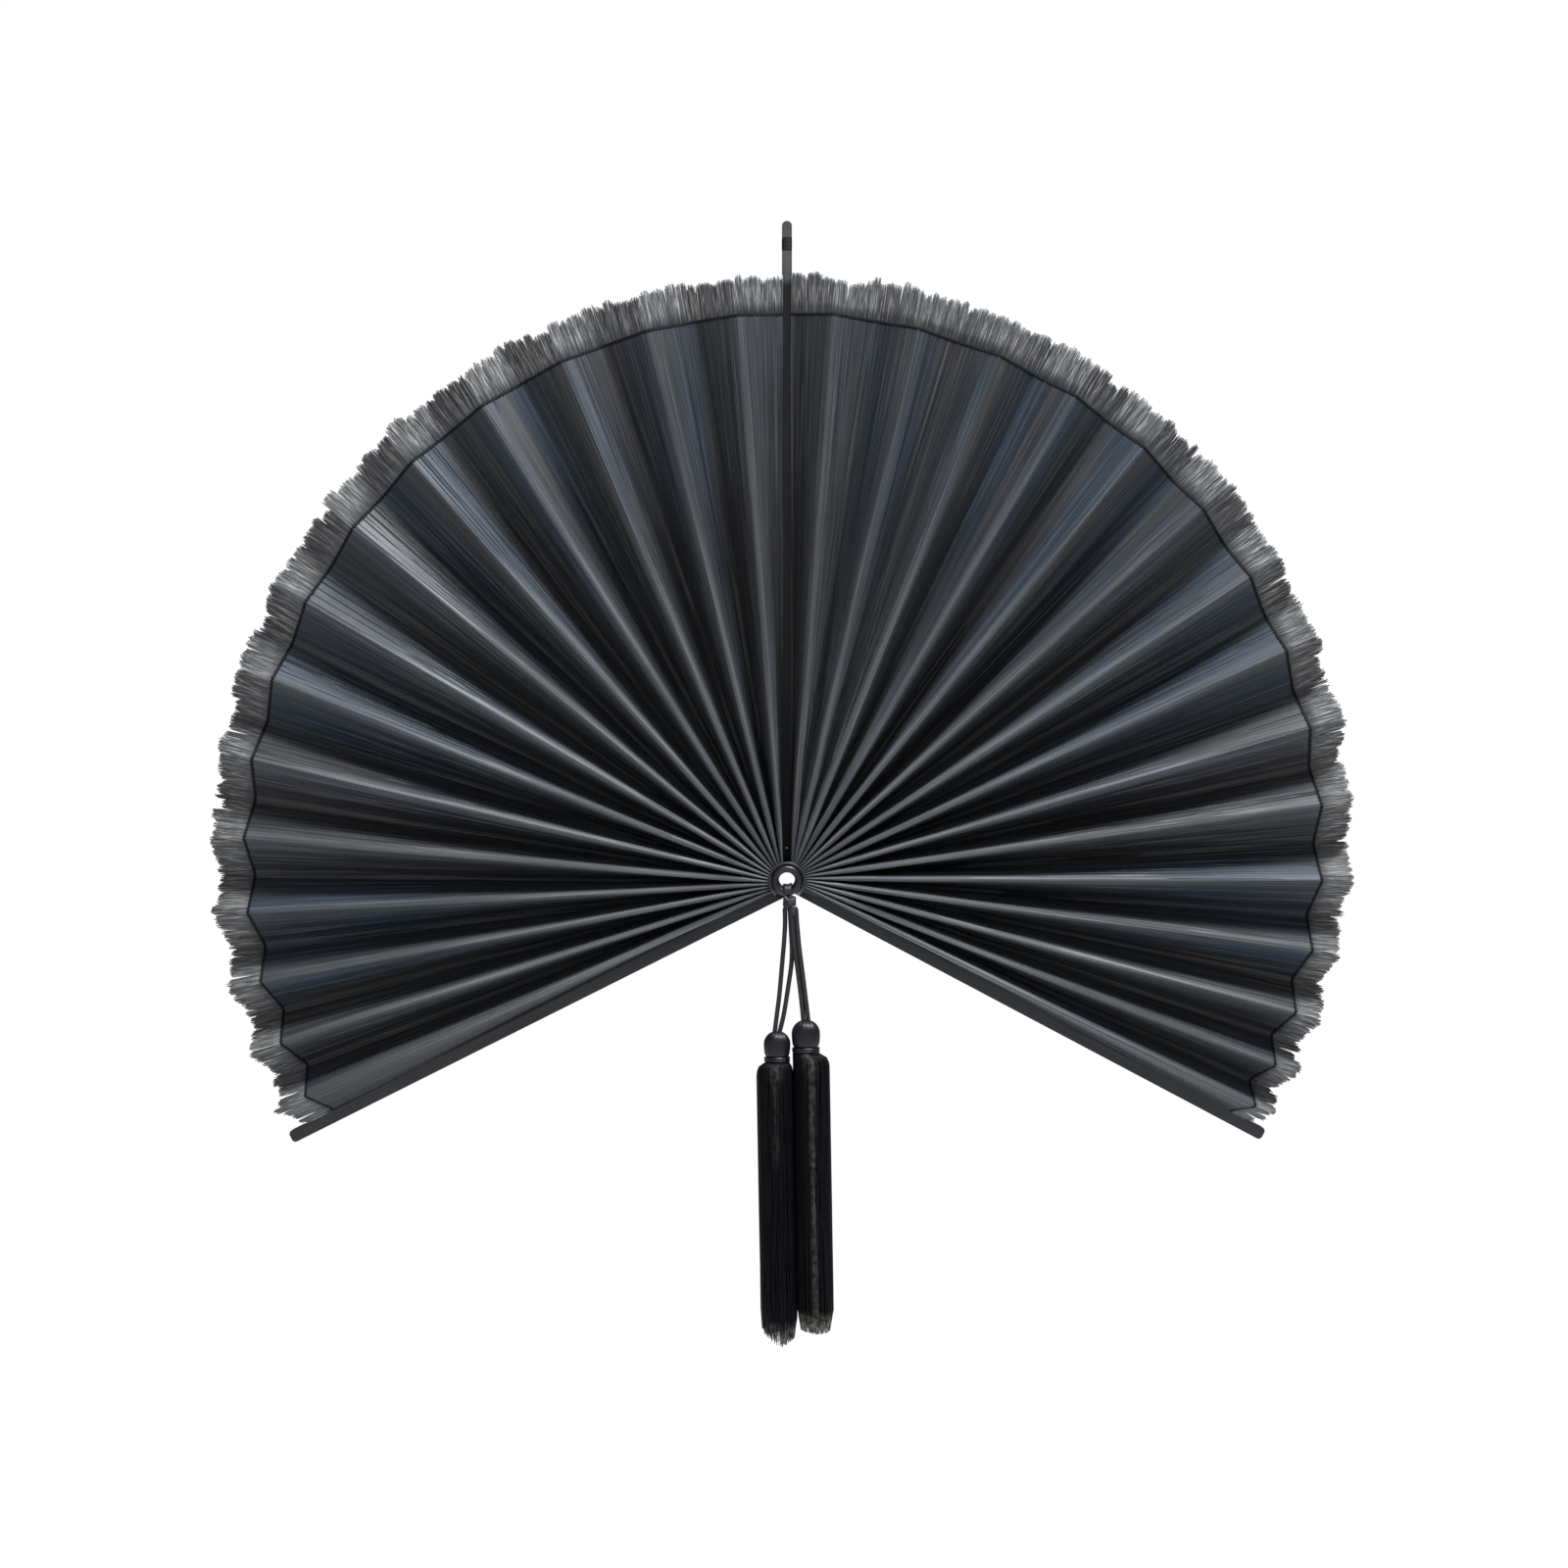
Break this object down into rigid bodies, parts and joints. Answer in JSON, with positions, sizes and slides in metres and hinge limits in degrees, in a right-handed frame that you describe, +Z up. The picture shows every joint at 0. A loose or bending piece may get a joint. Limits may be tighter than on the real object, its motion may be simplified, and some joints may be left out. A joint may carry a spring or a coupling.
{
  "type": "woven wall fan",
  "caption": "Pleated wall fan of dark woven splint, opened round a hub tube on an upright hanging stick between two guard sticks, with two thread tassels on doubled cords.",
  "frame": {"origin": "the place on the back of the upright stick, at its thread binding, where the fan hangs", "axes": "+X to the viewer's right along the open fan, +Y into the wall, +Z up the upright stick"},
  "size_m": [0.9056, 0.0723, 0.8874],
  "materials": {
    "woven_splint": "matt dyed splint, fine ribs along the folds",
    "stick_wood": "satin dyed wood",
    "hub_wood": "smooth dyed wood",
    "pin_steel": "dull steel pin",
    "dark_cord": "twisted dark cord",
    "satin_thread": "satin thread, slightly glossy"
  },
  "bodies": {
    "hub_and_stick": {"hanging_stick": "stick_wood", "stick_binding": "satin_thread", "stick_pin": "pin_steel", "hub_tube": "hub_wood", "back_washer": "hub_wood", "gathering_cord": "dark_cord", "cord_hitch": "dark_cord", "cord_knot": "dark_cord"},
    "left_guard": {"left_guard": "stick_wood"},
    "left_pleat_01": {"left_pleat_01": "woven_splint"},
    "left_pleat_02": {"left_pleat_02": "woven_splint"},
    "left_pleat_03": {"left_pleat_03": "woven_splint"},
    "left_pleat_04": {"left_pleat_04": "woven_splint"},
    "left_pleat_05": {"left_pleat_05": "woven_splint"},
    "left_pleat_06": {"left_pleat_06": "woven_splint"},
    "left_pleat_07": {"left_pleat_07": "woven_splint"},
    "left_pleat_08": {"left_pleat_08": "woven_splint"},
    "left_pleat_09": {"left_pleat_09": "woven_splint"},
    "left_pleat_10": {"left_pleat_10": "woven_splint"},
    "left_pleat_11": {"left_pleat_11": "woven_splint"},
    "left_pleat_12": {"left_pleat_12": "woven_splint"},
    "left_pleat_13": {"left_pleat_13": "woven_splint"},
    "left_pleat_14": {"left_pleat_14": "woven_splint"},
    "right_guard": {"right_guard": "stick_wood"},
    "right_pleat_01": {"right_pleat_01": "woven_splint"},
    "right_pleat_02": {"right_pleat_02": "woven_splint"},
    "right_pleat_03": {"right_pleat_03": "woven_splint"},
    "right_pleat_04": {"right_pleat_04": "woven_splint"},
    "right_pleat_05": {"right_pleat_05": "woven_splint"},
    "right_pleat_06": {"right_pleat_06": "woven_splint"},
    "right_pleat_07": {"right_pleat_07": "woven_splint"},
    "right_pleat_08": {"right_pleat_08": "woven_splint"},
    "right_pleat_09": {"right_pleat_09": "woven_splint"},
    "right_pleat_10": {"right_pleat_10": "woven_splint"},
    "right_pleat_11": {"right_pleat_11": "woven_splint"},
    "right_pleat_12": {"right_pleat_12": "woven_splint"},
    "right_pleat_13": {"right_pleat_13": "woven_splint"},
    "right_pleat_14": {"right_pleat_14": "woven_splint"},
    "right_pleat_15": {"right_pleat_15": "woven_splint"},
    "left_tassel_cord": {"left_tassel_cord": "dark_cord"},
    "left_tassel": {"left_tassel_ball": "satin_thread", "left_neck_ring": "satin_thread", "left_skirt": "satin_thread"},
    "right_tassel_cord": {"right_tassel_cord": "dark_cord"},
    "right_tassel": {"right_tassel_ball": "satin_thread", "right_neck_ring": "satin_thread", "right_skirt": "satin_thread"}
  },
  "joints": [
    {"name": "left_fold", "type": "hinge", "parent": "hub_and_stick", "child": "left_guard", "pos_m": [0, 0, -0.506], "axis": [0, 1, 0], "range_deg": [0, 106.6]},
    {"name": "left_fold_01", "type": "hinge", "parent": "hub_and_stick", "child": "left_pleat_01", "pos_m": [0, 0, -0.506], "axis": [0, 1, 0], "range_deg": [0, 4.72], "deforming": ["left_pleat_01"]},
    {"name": "left_fold_02", "type": "hinge", "parent": "left_pleat_01", "child": "left_pleat_02", "pos_m": [0, 0, -0.506], "axis": [0, 1, 0], "range_deg": [0, 8.71], "deforming": ["left_pleat_02"]},
    {"name": "left_fold_03", "type": "hinge", "parent": "left_pleat_02", "child": "left_pleat_03", "pos_m": [0, 0, -0.506], "axis": [0, 1, 0], "range_deg": [0, 8.69], "deforming": ["left_pleat_03"]},
    {"name": "left_fold_04", "type": "hinge", "parent": "left_pleat_03", "child": "left_pleat_04", "pos_m": [0, 0, -0.506], "axis": [0, 1, 0], "range_deg": [0, 8.67], "deforming": ["left_pleat_04"]},
    {"name": "left_fold_05", "type": "hinge", "parent": "left_pleat_04", "child": "left_pleat_05", "pos_m": [0, 0, -0.506], "axis": [0, 1, 0], "range_deg": [0, 8.62], "deforming": ["left_pleat_05"]},
    {"name": "left_fold_06", "type": "hinge", "parent": "left_pleat_05", "child": "left_pleat_06", "pos_m": [0, 0, -0.506], "axis": [0, 1, 0], "range_deg": [0, 8.53], "deforming": ["left_pleat_06"]},
    {"name": "left_fold_07", "type": "hinge", "parent": "left_pleat_06", "child": "left_pleat_07", "pos_m": [0, 0, -0.506], "axis": [0, 1, 0], "range_deg": [0, 8.41], "deforming": ["left_pleat_07"]},
    {"name": "left_fold_08", "type": "hinge", "parent": "left_pleat_07", "child": "left_pleat_08", "pos_m": [0, 0, -0.506], "axis": [0, 1, 0], "range_deg": [0, 8.23], "deforming": ["left_pleat_08"]},
    {"name": "left_fold_09", "type": "hinge", "parent": "left_pleat_08", "child": "left_pleat_09", "pos_m": [0, 0, -0.506], "axis": [0, 1, 0], "range_deg": [0, 8.01], "deforming": ["left_pleat_09"]},
    {"name": "left_fold_10", "type": "hinge", "parent": "left_pleat_09", "child": "left_pleat_10", "pos_m": [0, 0, -0.506], "axis": [0, 1, 0], "range_deg": [0, 7.71], "deforming": ["left_pleat_10"]},
    {"name": "left_fold_11", "type": "hinge", "parent": "left_pleat_10", "child": "left_pleat_11", "pos_m": [0, 0, -0.506], "axis": [0, 1, 0], "range_deg": [0, 7.34], "deforming": ["left_pleat_11"]},
    {"name": "left_fold_12", "type": "hinge", "parent": "left_pleat_11", "child": "left_pleat_12", "pos_m": [0, 0, -0.506], "axis": [0, 1, 0], "range_deg": [0, 6.9], "deforming": ["left_pleat_12"]},
    {"name": "left_fold_13", "type": "hinge", "parent": "left_pleat_12", "child": "left_pleat_13", "pos_m": [0, 0, -0.506], "axis": [0, 1, 0], "range_deg": [0, 6.36], "deforming": ["left_pleat_13"]},
    {"name": "left_fold_14", "type": "hinge", "parent": "left_pleat_13", "child": "left_pleat_14", "pos_m": [0, 0, -0.506], "axis": [0, 1, 0], "range_deg": [0, 5.72], "deforming": ["left_pleat_14"]},
    {"name": "right_fold", "type": "hinge", "parent": "hub_and_stick", "child": "right_guard", "pos_m": [0, 0, -0.506], "axis": [0, -1, 0], "range_deg": [0, 107.9]},
    {"name": "right_fold_01", "type": "hinge", "parent": "hub_and_stick", "child": "right_pleat_01", "pos_m": [0, 0, -0.506], "axis": [0, -1, 0], "range_deg": [0, 4.45], "deforming": ["right_pleat_01"]},
    {"name": "right_fold_02", "type": "hinge", "parent": "right_pleat_01", "child": "right_pleat_02", "pos_m": [0, 0, -0.506], "axis": [0, -1, 0], "range_deg": [0, 8.16], "deforming": ["right_pleat_02"]},
    {"name": "right_fold_03", "type": "hinge", "parent": "right_pleat_02", "child": "right_pleat_03", "pos_m": [0, 0, -0.506], "axis": [0, -1, 0], "range_deg": [0, 8.16], "deforming": ["right_pleat_03"]},
    {"name": "right_fold_04", "type": "hinge", "parent": "right_pleat_03", "child": "right_pleat_04", "pos_m": [0, 0, -0.506], "axis": [0, -1, 0], "range_deg": [0, 8.16], "deforming": ["right_pleat_04"]},
    {"name": "right_fold_05", "type": "hinge", "parent": "right_pleat_04", "child": "right_pleat_05", "pos_m": [0, 0, -0.506], "axis": [0, -1, 0], "range_deg": [0, 8.15], "deforming": ["right_pleat_05"]},
    {"name": "right_fold_06", "type": "hinge", "parent": "right_pleat_05", "child": "right_pleat_06", "pos_m": [0, 0, -0.506], "axis": [0, -1, 0], "range_deg": [0, 8.14], "deforming": ["right_pleat_06"]},
    {"name": "right_fold_07", "type": "hinge", "parent": "right_pleat_06", "child": "right_pleat_07", "pos_m": [0, 0, -0.506], "axis": [0, -1, 0], "range_deg": [0, 8.11], "deforming": ["right_pleat_07"]},
    {"name": "right_fold_08", "type": "hinge", "parent": "right_pleat_07", "child": "right_pleat_08", "pos_m": [0, 0, -0.506], "axis": [0, -1, 0], "range_deg": [0, 8.04], "deforming": ["right_pleat_08"]},
    {"name": "right_fold_09", "type": "hinge", "parent": "right_pleat_08", "child": "right_pleat_09", "pos_m": [0, 0, -0.506], "axis": [0, -1, 0], "range_deg": [0, 7.93], "deforming": ["right_pleat_09"]},
    {"name": "right_fold_10", "type": "hinge", "parent": "right_pleat_09", "child": "right_pleat_10", "pos_m": [0, 0, -0.506], "axis": [0, -1, 0], "range_deg": [0, 7.74], "deforming": ["right_pleat_10"]},
    {"name": "right_fold_11", "type": "hinge", "parent": "right_pleat_10", "child": "right_pleat_11", "pos_m": [0, 0, -0.506], "axis": [0, -1, 0], "range_deg": [0, 7.45], "deforming": ["right_pleat_11"]},
    {"name": "right_fold_12", "type": "hinge", "parent": "right_pleat_11", "child": "right_pleat_12", "pos_m": [0, 0, -0.506], "axis": [0, -1, 0], "range_deg": [0, 7.03], "deforming": ["right_pleat_12"]},
    {"name": "right_fold_13", "type": "hinge", "parent": "right_pleat_12", "child": "right_pleat_13", "pos_m": [0, 0, -0.506], "axis": [0, -1, 0], "range_deg": [0, 6.42], "deforming": ["right_pleat_13"]},
    {"name": "right_fold_14", "type": "hinge", "parent": "right_pleat_13", "child": "right_pleat_14", "pos_m": [0, 0, -0.506], "axis": [0, -1, 0], "range_deg": [0, 5.56], "deforming": ["right_pleat_14"]},
    {"name": "right_fold_15", "type": "hinge", "parent": "right_pleat_14", "child": "right_pleat_15", "pos_m": [0, 0, -0.506], "axis": [0, -1, 0], "range_deg": [0, 4.41], "deforming": ["right_pleat_15"]},
    {"name": "left_tassel_swing", "type": "hinge", "parent": "hub_and_stick", "child": "left_tassel_cord", "pos_m": [0.0003, -0.0565, -0.5286], "axis": [0, 1, 0], "range_deg": [0, 12]},
    {"name": "left_tassel_sway", "type": "hinge", "parent": "left_tassel_cord", "child": "left_tassel", "pos_m": [-0.0077, -0.0584, -0.6336], "axis": [-1, 0, 0], "range_deg": [-8, 25]},
    {"name": "right_tassel_swing", "type": "hinge", "parent": "hub_and_stick", "child": "right_tassel_cord", "pos_m": [0.0052, -0.0603, -0.5286], "axis": [0, -1, 0], "range_deg": [0, 12]},
    {"name": "right_tassel_sway", "type": "hinge", "parent": "right_tassel_cord", "child": "right_tassel", "pos_m": [0.0148, -0.0584, -0.6255], "axis": [-1, 0, 0], "range_deg": [-8, 25]}
  ],
  "couplings": [
    {"joint": "left_fold_01", "follows": "left_fold", "ratio": 0.044311},
    {"joint": "left_fold_02", "follows": "left_fold", "ratio": 0.081643},
    {"joint": "left_fold_03", "follows": "left_fold", "ratio": 0.081542},
    {"joint": "left_fold_04", "follows": "left_fold", "ratio": 0.081288},
    {"joint": "left_fold_05", "follows": "left_fold", "ratio": 0.080807},
    {"joint": "left_fold_06", "follows": "left_fold", "ratio": 0.080022},
    {"joint": "left_fold_07", "follows": "left_fold", "ratio": 0.078857},
    {"joint": "left_fold_08", "follows": "left_fold", "ratio": 0.077237},
    {"joint": "left_fold_09", "follows": "left_fold", "ratio": 0.075084},
    {"joint": "left_fold_10", "follows": "left_fold", "ratio": 0.072324},
    {"joint": "left_fold_11", "follows": "left_fold", "ratio": 0.068881},
    {"joint": "left_fold_12", "follows": "left_fold", "ratio": 0.064677},
    {"joint": "left_fold_13", "follows": "left_fold", "ratio": 0.059638},
    {"joint": "left_fold_14", "follows": "left_fold", "ratio": 0.053687},
    {"joint": "right_fold_01", "follows": "right_fold", "ratio": 0.041261},
    {"joint": "right_fold_02", "follows": "right_fold", "ratio": 0.075648},
    {"joint": "right_fold_03", "follows": "right_fold", "ratio": 0.075645},
    {"joint": "right_fold_04", "follows": "right_fold", "ratio": 0.075627},
    {"joint": "right_fold_05", "follows": "right_fold", "ratio": 0.07557},
    {"joint": "right_fold_06", "follows": "right_fold", "ratio": 0.075423},
    {"joint": "right_fold_07", "follows": "right_fold", "ratio": 0.075108},
    {"joint": "right_fold_08", "follows": "right_fold", "ratio": 0.074506},
    {"joint": "right_fold_09", "follows": "right_fold", "ratio": 0.073454},
    {"joint": "right_fold_10", "follows": "right_fold", "ratio": 0.071735},
    {"joint": "right_fold_11", "follows": "right_fold", "ratio": 0.069072},
    {"joint": "right_fold_12", "follows": "right_fold", "ratio": 0.065116},
    {"joint": "right_fold_13", "follows": "right_fold", "ratio": 0.059445},
    {"joint": "right_fold_14", "follows": "right_fold", "ratio": 0.051552},
    {"joint": "right_fold_15", "follows": "right_fold", "ratio": 0.040838}
  ]
}
